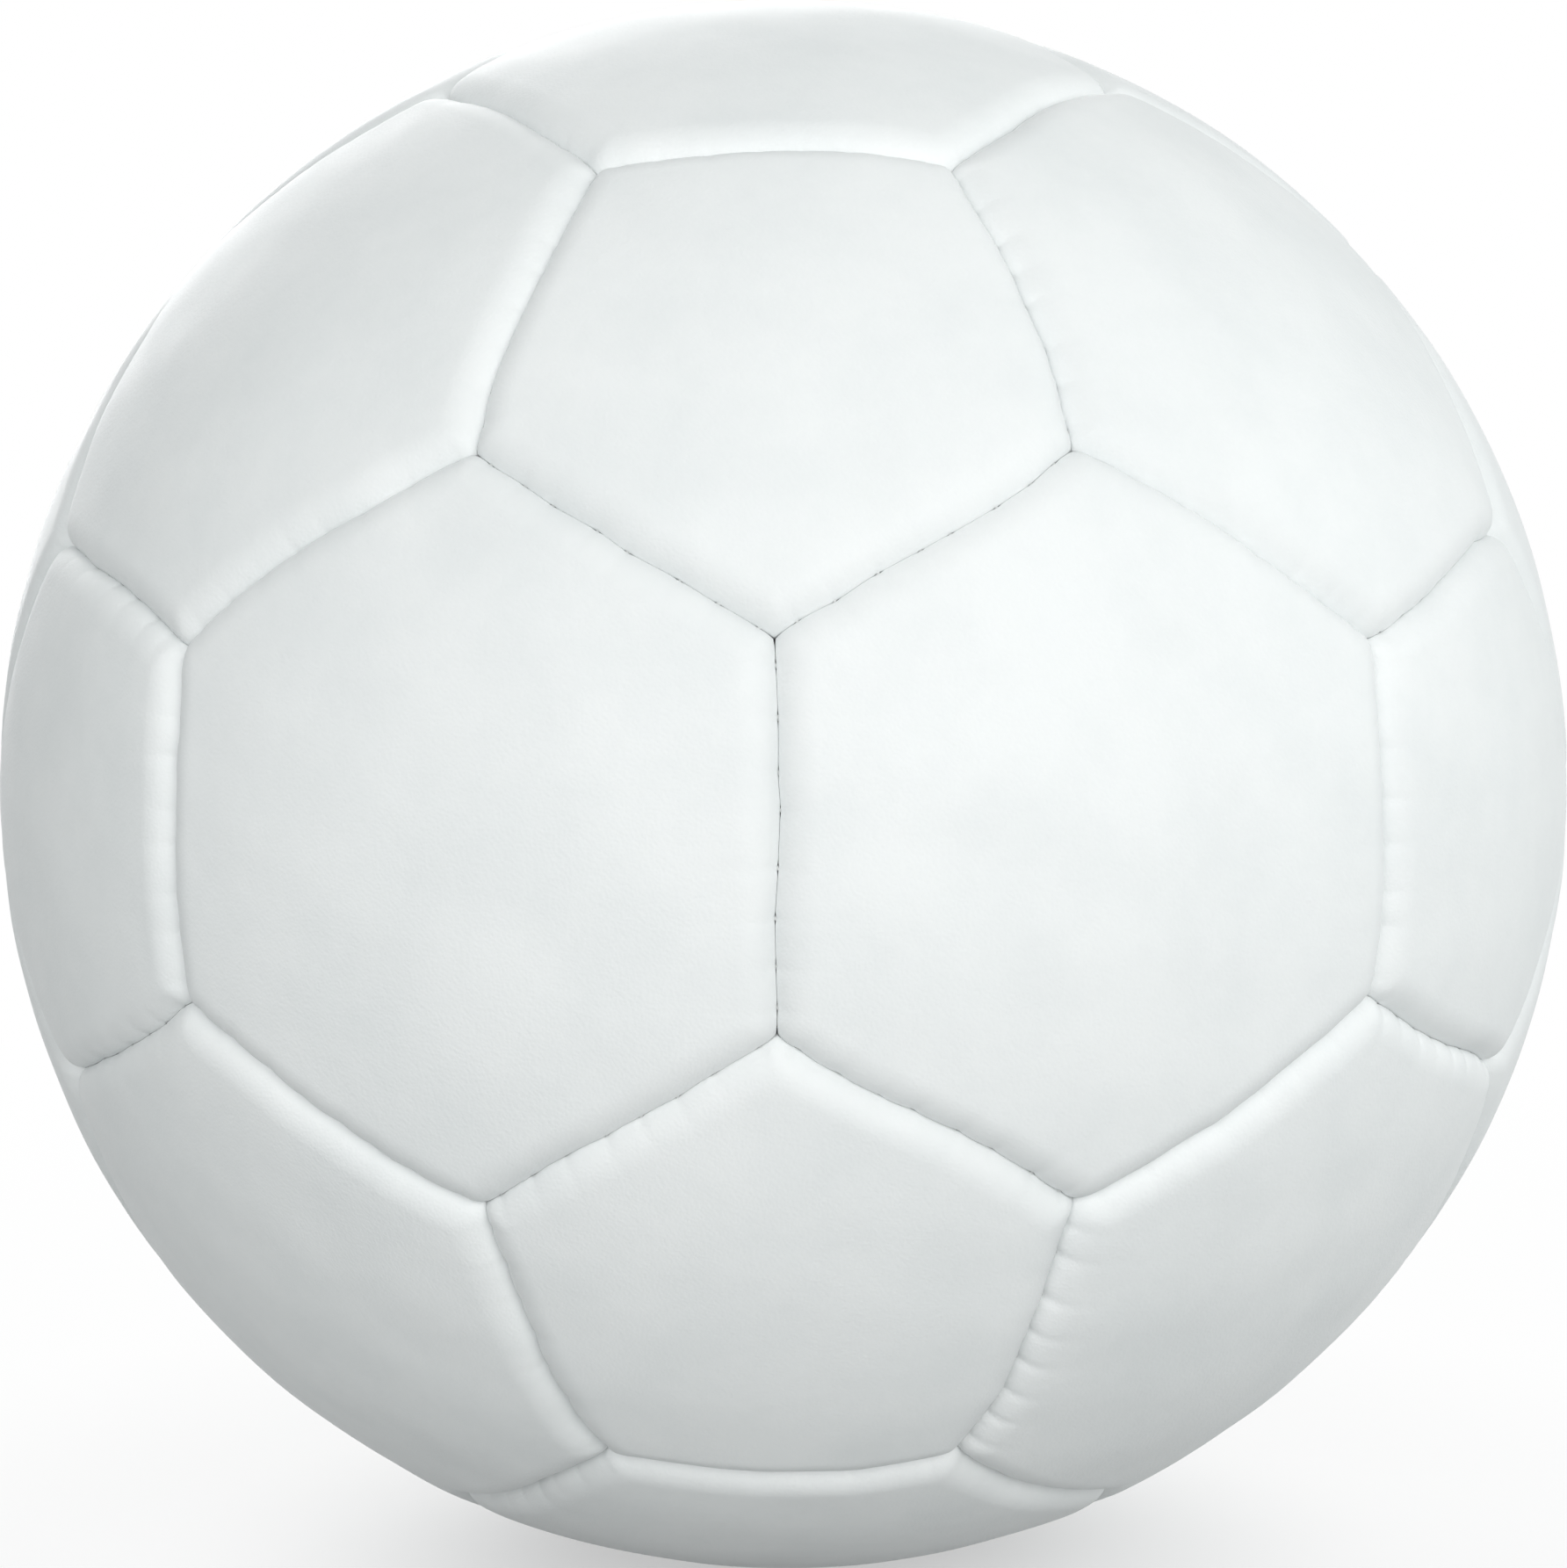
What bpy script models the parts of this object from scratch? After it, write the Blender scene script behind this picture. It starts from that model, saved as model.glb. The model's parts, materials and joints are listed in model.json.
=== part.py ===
"""Hand-stitched ball: thirty-two leather panels sewn round an inflated rubber bladder.

Twelve pentagon panels and twenty hexagon panels meet along ninety seams. Every panel has its
edges rolled over and turned in, so two neighbours stand face to face below each seam, and a
thread lies in the bottom of the groove. Inside is the bladder. Its valve comes out through one
hexagon at the back, and the plug in that valve pulls out.

Metres, +Z up, origin at the ball's centre. The front of the ball faces -Y.
"""

import math

import bmesh
import bpy
from mathutils import Matrix, Vector

# Ball, measured over the crowns of the panels
BALL_DIAMETER = 0.220

# Cover panels: synthetic leather on a cloth lining, one laminated piece each
PANEL_THICKNESS = 0.0022
CROWN_DROP = 0.0010
ROLL_RADIUS = 0.0026
SEAM_ALLOWANCE = 0.0022
SEAM_GAP = 0.0006
EDGE_SEGMENTS = 3
ROLL_SEGMENTS = 2
CROWN_RING = 0.60

# Seam thread, lying in the groove between the rolled edges
THREAD_WIDTH = 0.0010
THREAD_THICKNESS = 0.0008
THREAD_SINK = 0.0006

# Bladder, just clear of the turned-in edges
BLADDER_WALL = 0.0008
FIT_GAP = 0.0004
BLADDER_ARCS = 14
BLADDER_STEPS = 28

# Valve: the direction of its hexagon's centre, left of the seam in the middle of the back
VALVE_TOWARDS = (-1.0, 2.618, 0.0)
VALVE_STEPS = 24
VALVE_RECESS = 0.0005
NIPPLE_RADIUS = 0.0045
VALVE_HOLE_RADIUS = 0.0050
BASE_RADIUS = 0.015
BASE_TOP_DEPTH = 0.0038
BASE_ARCS = 3
STEM_RADIUS = 0.006
STEM_LENGTH = 0.014
BORE_RADIUS = 0.0020
BORE_FLOOR = 0.0022
AIR_HOLE_RADIUS = 0.0012
SEAT_RADIUS = 0.0029
SEAT_DEPTH = 0.0016
PLUG_GAP = 0.0003
NEEDLE_HOLE_RADIUS = 0.0006
NEEDLE_HOLE_FLOOR = 0.0030
RING_TOP_DEPTH = 0.0029
RING_THICKNESS = 0.0005
RING_RADIUS = 0.012

# Colours, as linear red, green and blue
LEATHER_WHITE = (0.87, 0.89, 0.89)
THREAD_WHITE = (0.72, 0.73, 0.71)
BLADDER_BLACK = (0.020, 0.020, 0.022)
VALVE_BLACK = (0.030, 0.030, 0.032)
LINING_CREAM = (0.66, 0.62, 0.52)

# Worked out from the sizes above
BALL_RADIUS = BALL_DIAMETER / 2
ROLL_TOP = BALL_RADIUS - CROWN_DROP
ROLL_BOTTOM = ROLL_TOP - ROLL_RADIUS
TURN_IN_END = ROLL_BOTTOM - SEAM_ALLOWANCE
BLADDER_RADIUS = TURN_IN_END - FIT_GAP
GOLDEN = (1 + math.sqrt(5)) / 2


def clear_scene():
    for obj in list(bpy.data.objects):
        bpy.data.objects.remove(obj, do_unlink=True)


def add_object(name, mesh, parent=None, material=None):
    obj = bpy.data.objects.new(name, mesh)
    bpy.context.scene.collection.objects.link(obj)
    obj.parent = parent
    if material is not None and not mesh.materials:
        mesh.materials.append(material)
    return obj


def add_empty(name, parent=None):
    empty = bpy.data.objects.new(name, None)
    bpy.context.scene.collection.objects.link(empty)
    empty.empty_display_size = BALL_RADIUS / 4
    empty.parent = parent
    return empty


def make_material(name, colour, roughness):
    material = bpy.data.materials.new(name)
    material.use_nodes = True
    shader = material.node_tree.nodes["Principled BSDF"]
    shader.inputs["Base Color"].default_value = (*colour, 1.0)
    shader.inputs["Roughness"].default_value = roughness
    shader.inputs["Metallic"].default_value = 0.0
    material.diffuse_color = (*colour, 1.0)
    return material


# Layout of the seams

def icosahedron_corners():
    """Twelve corners, one for the middle of each pentagon, with an edge facing straight ahead."""
    corners = []
    for long_side in (-GOLDEN, GOLDEN):
        for short_side in (-1.0, 1.0):
            base = (0.0, long_side, short_side)
            for shift in range(3):
                corners.append(Vector(base[shift:] + base[:shift]))
    return corners


def seam_layout():
    """Mesh of the sixty seam corners, ninety seams and thirty-two panels, on a unit sphere."""
    net = bmesh.new()
    corners = icosahedron_corners()
    edge_length = 2.0
    for start in corners:
        for end in corners:
            if math.isclose((end - start).length, edge_length, rel_tol=1e-6):
                net.verts.new(start.lerp(end, 1 / 3).normalized())
    bmesh.ops.convex_hull(net, input=net.verts)
    bmesh.ops.dissolve_limit(net, angle_limit=math.radians(1), verts=net.verts, edges=net.edges)
    bmesh.ops.recalc_face_normals(net, faces=net.faces)
    return net


def panel_places(net, sides):
    """(rotation, corner angle) of every panel with that many sides, from the top of the ball down."""
    places = []
    for face in net.faces:
        if len(face.verts) != sides:
            continue
        outward = face.calc_center_median().normalized()
        corner = face.verts[0].co
        sideways = (corner - outward * corner.dot(outward)).normalized()
        turn = Matrix((sideways, outward.cross(sideways), outward)).transposed()
        places.append((turn, outward.angle(corner)))

    def down_and_round(place):
        outward = place[0].col[2]
        return (-round(outward.z, 3), round(math.atan2(outward.y, outward.x), 3))

    return sorted(places, key=down_and_round)


# Cover panels, modelled with their middle on the local +Z axis

def seam_line(sides, corner_angle):
    """Unit vectors along the seam round a panel, EDGE_SEGMENTS to each side."""
    corners = []
    for side in range(sides):
        turn = 2 * math.pi * side / sides
        across = math.sin(corner_angle)
        corners.append(Vector((across * math.cos(turn), across * math.sin(turn), math.cos(corner_angle))))
    line = []
    for side, corner in enumerate(corners):
        following = corners[(side + 1) % sides]
        for step in range(EDGE_SEGMENTS):
            line.append(corner.slerp(following, step / EDGE_SEGMENTS))
    return line


def panel_section():
    """(distance from the seam, radius) from the turned-in edge, over the roll, to the crown's rim."""
    wall = SEAM_GAP / 2
    section = [(wall, TURN_IN_END)]
    for step in range(ROLL_SEGMENTS + 1):
        angle = math.pi / 2 * step / ROLL_SEGMENTS
        away = wall + ROLL_RADIUS * (1 - math.cos(angle))
        section.append((away, ROLL_BOTTOM + ROLL_RADIUS * math.sin(angle)))
    return section


def panel_rings(line, apothem):
    """Rings of points from the turned-in edge up to the last ring before the middle of the panel."""
    middle = Vector((0, 0, 1))
    rings = []
    for away, radius in panel_section():
        share = away / (BALL_RADIUS * apothem)
        rings.append([point.slerp(middle, share) * radius for point in line])
    crown_radius = BALL_RADIUS - CROWN_DROP * (1 - CROWN_RING) ** 2
    rings.append([point.slerp(middle, CROWN_RING) * crown_radius for point in line])
    return rings


def panel_sheet(name, sides, corner_angle):
    """The panel's outer face as a sheet: turned-in edge, rolled edge and crowned middle."""
    line = seam_line(sides, corner_angle)
    apothem = math.atan(math.tan(corner_angle) * math.cos(math.pi / sides))
    sheet = bmesh.new()
    rings = []
    for points in panel_rings(line, apothem):
        rings.append([sheet.verts.new(point) for point in points])
    count = len(line)
    for outer, inner in zip(rings, rings[1:]):
        for this in range(count):
            following = (this + 1) % count
            sheet.faces.new((outer[this], outer[following], inner[following], inner[this]))
    cap = sheet.faces.new(rings[-1])
    poked = bmesh.ops.poke(sheet, faces=[cap])
    poked["verts"][0].co = Vector((0, 0, BALL_RADIUS))
    sheet.normal_update()
    mesh = bpy.data.meshes.new(name)
    sheet.to_mesh(mesh)
    sheet.free()
    mesh.shade_smooth()
    return mesh


def add_panel(name, mesh, turn, parent, material):
    panel = add_object(name, mesh, parent, material)
    panel.rotation_mode = "QUATERNION"
    panel.rotation_quaternion = turn.to_quaternion()
    laminate = panel.modifiers.new("Laminate", "SOLIDIFY")
    laminate.thickness = PANEL_THICKNESS
    laminate.offset = -1.0
    laminate.use_even_offset = True
    return panel


def add_pentagon_panels(net, parent, material):
    places = panel_places(net, 5)
    mesh = panel_sheet("pentagon_panel", 5, places[0][1])
    for number, (turn, _) in enumerate(places, start=1):
        add_panel(f"pentagon_panel_{number:02d}", mesh, turn, parent, material)


def add_hexagon_panels(net, parent, material):
    """Nineteen plain hexagons, and the one that the valve comes out through, which is returned."""
    places = panel_places(net, 6)
    mesh = panel_sheet("hexagon_panel", 6, places[0][1])
    towards = Vector(VALVE_TOWARDS).normalized()
    by_valve = max(places, key=lambda place: place[0].col[2].dot(towards))
    plain = [place for place in places if place is not by_valve]
    for number, (turn, _) in enumerate(plain, start=1):
        add_panel(f"hexagon_panel_{number:02d}", mesh, turn, parent, material)
    return add_panel("hexagon_panel_valve", mesh.copy(), by_valve[0], parent, material)


# Seam thread

def add_seam_thread(net, parent, material):
    """One net of thread that follows all ninety seams, in the groove between the rolled edges."""
    bmesh.ops.subdivide_edges(net, edges=net.edges, cuts=EDGE_SEGMENTS - 1)
    for vert in net.verts:
        vert.co = vert.co.normalized() * (ROLL_TOP - THREAD_SINK)
    net.normal_update()
    openings = list(net.faces)
    bmesh.ops.inset_individual(net, faces=openings, thickness=THREAD_WIDTH / 2, use_even_offset=True)
    bmesh.ops.delete(net, geom=openings, context="FACES")
    mesh = bpy.data.meshes.new("seam_thread")
    net.to_mesh(mesh)
    thread = add_object("seam_thread", mesh, parent, material)
    strand = thread.modifiers.new("Strand", "SOLIDIFY")
    strand.thickness = THREAD_THICKNESS
    strand.offset = -1.0
    return thread


# Turned pieces: profiles are (distance from the axis, height), down the outer side

def add_turned(name, profile, closed, steps, parent, material):
    mesh = bpy.data.meshes.new(name)
    points = [(away, 0.0, height) for away, height in profile]
    edges = [(i, i + 1) for i in range(len(points) - 1)]
    if closed:
        edges.append((len(points) - 1, 0))
    mesh.from_pydata(points, edges, [])
    piece = add_object(name, mesh, parent, material)
    turning = piece.modifiers.new("Turning", "SCREW")
    turning.steps = steps
    turning.render_steps = steps
    turning.use_merge_vertices = True
    turning.merge_threshold = 0.00001
    return piece


def on_sphere(radius, away):
    """Point of a profile on a sphere round the ball's centre."""
    return (away, math.sqrt(radius ** 2 - away ** 2))


def add_bladder(parent, material):
    """Hollow rubber sphere, open only where the valve's stem goes in."""
    mouth = math.asin((STEM_RADIUS + FIT_GAP) / BLADDER_RADIUS)

    def arc(radius):
        angles = [mouth + (math.pi - mouth) * i / BLADDER_ARCS for i in range(BLADDER_ARCS)]
        points = [(radius * math.sin(angle), radius * math.cos(angle)) for angle in angles]
        return [*points, (0.0, -radius)]

    inside = arc(BLADDER_RADIUS - BLADDER_WALL)
    outside = arc(BLADDER_RADIUS)
    return add_turned("bladder", inside[::-1] + outside, False, BLADDER_STEPS, parent, material)


def valve_heights():
    """Heights above the ball's centre of the valve's face, plug seat, bore floor and stem end."""
    face = BALL_RADIUS - VALVE_RECESS
    stem_end = BLADDER_RADIUS - STEM_LENGTH
    return face, face - SEAT_DEPTH, stem_end + BORE_FLOOR, stem_end


def add_valve_housing(parent, material):
    """Nipple, wide base that is bonded to the bladder, and stem with the bore for the plug."""
    face, seat, bore_end, stem_end = valve_heights()
    base_top = BALL_RADIUS - BASE_TOP_DEPTH
    base_bottom = BLADDER_RADIUS + FIT_GAP
    reach = BASE_RADIUS - NIPPLE_RADIUS
    profile = [(SEAT_RADIUS, face), (NIPPLE_RADIUS, face)]
    for step in range(BASE_ARCS + 1):
        profile.append(on_sphere(base_top, NIPPLE_RADIUS + reach * step / BASE_ARCS))
    reach = STEM_RADIUS - BASE_RADIUS
    for step in range(BASE_ARCS + 1):
        profile.append(on_sphere(base_bottom, BASE_RADIUS + reach * step / BASE_ARCS))
    profile += [(STEM_RADIUS, stem_end), (AIR_HOLE_RADIUS, stem_end), (AIR_HOLE_RADIUS, bore_end)]
    profile += [(BORE_RADIUS, bore_end), (BORE_RADIUS, seat), (SEAT_RADIUS, seat)]
    return add_turned("valve_housing", profile, True, VALVE_STEPS, parent, material)


def add_valve_plug(parent, material):
    """Mushroom plug with a blind needle hole. Its closed lower end is the slit that seals."""
    face, seat, bore_end, _ = valve_heights()
    head = SEAT_RADIUS - PLUG_GAP
    shank = BORE_RADIUS - PLUG_GAP
    top = face - PLUG_GAP
    bottom = bore_end + PLUG_GAP
    needle_end = bottom + NEEDLE_HOLE_FLOOR
    profile = [(0.0, needle_end), (NEEDLE_HOLE_RADIUS, needle_end), (NEEDLE_HOLE_RADIUS, top)]
    profile += [(head, top), (head, seat + PLUG_GAP), (shank, seat + PLUG_GAP)]
    profile += [(shank, bottom), (0.0, bottom)]
    return add_turned("valve_plug", profile, False, VALVE_STEPS, parent, material)


def add_valve_ring(parent, material):
    """Cloth ring glued inside the valve's hexagon, round the hole, so that it can't tear."""
    top = BALL_RADIUS - RING_TOP_DEPTH
    bottom = top - RING_THICKNESS
    reach = RING_RADIUS - VALVE_HOLE_RADIUS
    steps = range(BASE_ARCS + 1)
    upper = [on_sphere(top, VALVE_HOLE_RADIUS + reach * step / BASE_ARCS) for step in steps]
    lower = [on_sphere(bottom, VALVE_HOLE_RADIUS + reach * step / BASE_ARCS) for step in steps]
    return add_turned("valve_reinforcing_ring", upper + lower[::-1], True, VALVE_STEPS, parent, material)


def cut_valve_hole(panel, parent):
    """Round hole through the valve's hexagon for the nipple."""
    top = BALL_RADIUS * 1.1
    bottom = BLADDER_RADIUS * 0.9
    profile = [(0.0, top), (VALVE_HOLE_RADIUS, top), (VALVE_HOLE_RADIUS, bottom), (0.0, bottom)]
    cutter = add_turned("valve_hole_cutter", profile, False, VALVE_STEPS, parent, None)
    cutter.hide_render = True
    cutter.display_type = "WIRE"
    hole = panel.modifiers.new("Valve hole", "BOOLEAN")
    hole.operation = "DIFFERENCE"
    hole.object = cutter


def main():
    clear_scene()
    leather = make_material("white_synthetic_leather", LEATHER_WHITE, 0.42)
    thread = make_material("waxed_thread", THREAD_WHITE, 0.70)
    butyl = make_material("bladder_rubber", BLADDER_BLACK, 0.55)
    rubber = make_material("valve_rubber", VALVE_BLACK, 0.60)
    cloth = make_material("lining_cloth", LINING_CREAM, 0.90)

    centre = add_empty("ball_centre")
    valve_axis = add_empty("valve_axis", centre)
    valve_axis.rotation_mode = "QUATERNION"
    valve_axis.rotation_quaternion = Vector(VALVE_TOWARDS).to_track_quat("Z", "Y")

    net = seam_layout()
    add_pentagon_panels(net, centre, leather)
    valve_panel = add_hexagon_panels(net, centre, leather)
    add_seam_thread(net, centre, thread)
    net.free()

    cut_valve_hole(valve_panel, valve_axis)
    add_valve_ring(valve_axis, cloth)
    add_bladder(valve_axis, butyl)
    add_valve_housing(valve_axis, rubber)
    add_valve_plug(valve_axis, rubber)


main()
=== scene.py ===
import json
import math
import random

import bmesh
import bpy
import numpy as np
from mathutils import Matrix, Vector


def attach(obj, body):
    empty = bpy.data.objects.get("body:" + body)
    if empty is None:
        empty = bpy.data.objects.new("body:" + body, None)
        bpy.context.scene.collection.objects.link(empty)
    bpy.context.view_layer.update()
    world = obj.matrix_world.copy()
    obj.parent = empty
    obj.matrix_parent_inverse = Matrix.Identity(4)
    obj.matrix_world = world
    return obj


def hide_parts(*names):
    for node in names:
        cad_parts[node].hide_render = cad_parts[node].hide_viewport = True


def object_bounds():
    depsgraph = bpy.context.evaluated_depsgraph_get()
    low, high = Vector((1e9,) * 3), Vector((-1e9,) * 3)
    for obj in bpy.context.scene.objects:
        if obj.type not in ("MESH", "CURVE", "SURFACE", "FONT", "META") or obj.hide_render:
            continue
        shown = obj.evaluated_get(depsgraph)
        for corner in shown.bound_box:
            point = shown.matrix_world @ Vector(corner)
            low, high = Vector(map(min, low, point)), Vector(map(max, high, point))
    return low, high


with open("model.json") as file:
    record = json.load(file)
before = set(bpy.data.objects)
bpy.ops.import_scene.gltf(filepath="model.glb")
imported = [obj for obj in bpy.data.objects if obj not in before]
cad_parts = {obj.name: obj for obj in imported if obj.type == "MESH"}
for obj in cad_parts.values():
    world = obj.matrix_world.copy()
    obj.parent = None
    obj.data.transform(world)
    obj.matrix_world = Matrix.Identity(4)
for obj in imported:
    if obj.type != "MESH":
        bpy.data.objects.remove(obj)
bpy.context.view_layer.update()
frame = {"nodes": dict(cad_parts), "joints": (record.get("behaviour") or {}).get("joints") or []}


# sizes read from the solids
def nodePoints(name):
    return np.array([v.co[:] for v in frame["nodes"][name].data.vertices])


panelNames = sorted(name for name in frame["nodes"] if "_panel_" in name)
panelReach = [np.linalg.norm(nodePoints(name), axis=1) for name in panelNames]
ballRadius = max(reach.max() for reach in panelReach)
turnInEnd = min(reach.min() for reach in panelReach)
valveAxis = Vector(frame["joints"][0]["axis"]).normalized()
print(f"ball radius {ballRadius * 1000:.1f} mm, turned-in edges end at {turnInEnd * 1000:.1f} mm")


# seam layout
def unit(vectors):
    return vectors / np.linalg.norm(vectors, axis=-1, keepdims=True)


def findSeamCorners():
    golden = (1 + math.sqrt(5)) / 2
    middles = []                            # of the twelve pentagons
    for longSide in (-golden, golden):
        for shortSide in (-1.0, 1.0):
            base = (0.0, longSide, shortSide)
            middles += [np.array(base[turn:] + base[:turn]) for turn in range(3)]
    corners = []
    for start in middles:
        for end in middles:
            if math.isclose(np.linalg.norm(end - start), 2.0, rel_tol=1e-6):
                corners.append(start + (end - start) / 3)
    return unit(np.array(corners))


seamCorners = findSeamCorners()


offAxis = np.array([0.31, 0.52, 0.79])    # no panel faces this way


def panelOutline(name):
    # the panel's own corners, anticlockwise as seen from outside, and its middle
    sides = 5 if name.startswith("pentagon") else 6
    rough = unit(nodePoints(name).mean(axis=0))
    nearest = np.argsort(-(seamCorners @ rough))[:sides]
    middle = unit(seamCorners[nearest].mean(axis=0))
    across = unit(np.cross(offAxis, middle))
    up = np.cross(middle, across)
    turns = np.arctan2(seamCorners[nearest] @ up, seamCorners[nearest] @ across)
    return middle, [int(corner) for corner in nearest[np.argsort(turns)]]


outlines = {name: panelOutline(name) for name in panelNames}

stitching = dict(
    seed=11797,
    pitch=0.0057,          # between two stitches
    jitter=0.16,           # of the pitch
    bow=0.0005,            # slow wander of a seam off its great circle
    zigzag=0.00020,        # wander from one stitch to the next
    scallop=0.00020,       # of the lips between two stitches
    straightEnd=0.08,      # of a seam's length, where the lips run straight into the corner
    pull=(0.60, 1.30),     # weakest and strongest pull of a stitch on the leather
    gather=(0.30, 1.5),    # slackest and most gathered side of a panel
    cornerPull=0.0007,     # of every corner towards the middle of its pentagon, which rounds the sides
    cornerReach=0.009,
)


def sewSeams():
    draw = random.Random(stitching["seed"])
    pairs = set()
    for _, corners in outlines.values():
        pairs |= {tuple(sorted(pair)) for pair in zip(corners, corners[1:] + corners[:1])}
    slackest, tightest = stitching["gather"]
    seams = {}
    for pair in sorted(pairs):
        start, end = seamCorners[pair[0]], seamCorners[pair[1]]
        span = math.acos(float(start @ end))
        count = round(span * ballRadius / stitching["pitch"])
        places = [(i + 0.5 + draw.uniform(-1, 1) * stitching["jitter"]) / count for i in range(count)]
        places = [-0.5 / count, *places, 1 + 0.5 / count]
        seams[pair] = dict(
            start=start,
            along=unit(end - start * float(start @ end)),
            across=unit(np.cross(start, end)),
            span=span,
            places=np.array(places),
            zigzag=np.array([draw.uniform(-1, 1) for _ in places]) * stitching["zigzag"],
            bow=[draw.uniform(-1, 1) * stitching["bow"] for _ in range(2)],
            pull=[np.array([draw.uniform(*stitching["pull"]) for _ in places]) for _ in range(2)],
            gather=[slackest + (tightest - slackest) * draw.random() ** 2 for _ in range(2)],
            scallop=draw.uniform(-1, 1) * stitching["scallop"],
        )
    return seams


seams = sewSeams()
print(f"{len(seams)} seams, {sum(len(seam['places']) - 2 for seam in seams.values())} stitches")


def smoothBetween(values, phase):
    lower = np.clip(np.floor(phase).astype(int), 0, len(values) - 2)
    step = np.clip(phase - lower, 0, 1)
    step = step * step * (3 - 2 * step)
    return values[lower] * (1 - step) + values[lower + 1] * step


def seamWander(seam, place, phase):
    slow = seam["bow"][0] * np.sin(np.pi * place) + seam["bow"][1] * np.sin(2 * np.pi * place)
    lips = smoothBetween(seam["zigzag"], phase) + seam["scallop"] * np.abs(np.sin(np.pi * phase))
    return slow + lips * np.clip(np.minimum(place, 1 - place) / stitching["straightEnd"], 0, 1)


pentagonMiddles = {}
for outlineName, (outlineMiddle, outlineCorners) in outlines.items():
    if outlineName.startswith("pentagon"):
        pentagonMiddles.update(dict.fromkeys(outlineCorners, outlineMiddle))


def pullCorners(points, ids):
    # moves leather and thread alike, so that the seams stay closed
    reach = np.linalg.norm(points, axis=1)
    pulled = points.copy()
    for corner in ids:
        at, middle = seamCorners[corner], pentagonMiddles[corner]
        away = np.linalg.norm(points / reach[:, None] - at, axis=1) * ballRadius
        share = np.exp(-(away / stitching["cornerReach"]) ** 2) * stitching["cornerPull"] / ballRadius
        pulled += np.outer(share * reach, unit(middle - at * float(middle @ at)))
    return pulled


# leather panels
panelShape = dict(
    rows=96,               # rows of triangles from the middle to the seam
    edgeRows=28,           # of them, the rows in the rounded edge
    rounding=0.0045,       # width of the rounded edge
    seamDepth=0.0024,      # of the seam below the crown
    steepness=0.97,        # of the edge at the seam, 1 is upright
    cornerBlend=3.0,       # how sharply two rounded edges meet at a corner
    wanderReach=0.007,     # how far into a panel its seam's wander is felt
    lipGap=0.000015,       # from the seam's plane to the leather, between stitches
    stitchGap=0.00009,     # more of it at a stitch
    cornerGap=0.00006,     # more of it where three seams meet
    cornerGapReach=0.0008,
    lipReach=0.0012,       # how far into a panel the gap is felt
    stitchWidth=0.085,     # of the pitch
    pucker=0.00014,        # fold that a stitch draws across the edge
    puckerReach=0.0028,
    puckerNarrow=5,        # how narrow the fold is
    puckerStart=0.0020,    # from a corner, before the first fold
    thickness=0.0021,
    turnIn=(0.35, 1.0),    # shares of the turned-in edge's depth that have a row
    liningRows=12,
    liningInset=1.6,       # thicknesses from the seam to the lining's flat part
    liningFold=0.0012,     # depth of the fold there
    unevenness=0.00009,    # slow waves in the leather
    waves=dict(seed=5, count=28, lengths=(0.012, 0.045)),
    holeRadius=0.0050,     # for the valve
    holeRows=16,           # rows of the crown that the hole takes out
    holeFlat=(0.0022, 0.0010),    # rows of plain leather round the hole
    holeRoll=0.0006,       # rounding of its edge
    holeLap=0.0001,        # of its wall below the lining
)


def fanGrid(sides, rows):
    # a fan of triangular sectors: ring r holds sides * r points, ring 0 is the middle
    ring, side, along, faces = [0], [0], [0.0], []
    first = [0] + [1 + sides * r * (r - 1) // 2 for r in range(1, rows + 1)]
    for r in range(1, rows + 1):
        for s in range(sides):
            ring += [r] * r
            side += [s] * r
            along += [step / r for step in range(r)]
    for r in range(rows):
        inner, outer = max(sides * r, 1), sides * (r + 1)
        for s in range(sides):
            for step in range(r + 1):
                low = first[r] + (s * r + step) % inner
                left = first[r + 1] + s * (r + 1) + step
                right = first[r + 1] + (s * (r + 1) + step + 1) % outer
                faces.append((low, left, right))
                if step < r:
                    faces.append((low, right, first[r] + (s * r + step + 1) % inner))
    return dict(ring=np.array(ring), side=np.array(side), along=np.array(along),
                faces=np.array(faces), first=first)


def gridDirections(grid, middle, corners, shares):
    # unit vectors of a fan grid spread over a panel, shares[r] of the way from the middle to the seam
    start = corners[grid["side"]]
    end = corners[(grid["side"] + 1) % len(corners)]
    span = math.acos(float(corners[0] @ corners[1]))
    along = grid["along"][:, None] * span
    seamPoint = (np.sin(span - along) * start + np.sin(along) * end) / math.sin(span)
    reach = np.arccos(np.clip(seamPoint @ middle, -1, 1))[:, None]
    share = shares[grid["ring"]][:, None]
    return unit(np.sin((1 - share) * reach) * middle + np.sin(share * reach) * seamPoint)


def slowWaves(points):
    # a sum of seeded waves, the same on both sides of a seam
    waves = panelShape["waves"]
    draw = random.Random(waves["seed"])
    total = np.zeros(len(points))
    for _ in range(waves["count"]):
        facing = unit(np.array([draw.gauss(0, 1) for _ in range(3)]))
        length = draw.uniform(*waves["lengths"])
        total += np.sin(points @ facing * (2 * math.pi / length) + draw.uniform(0, 2 * math.pi))
    return total / math.sqrt(waves["count"])


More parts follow.
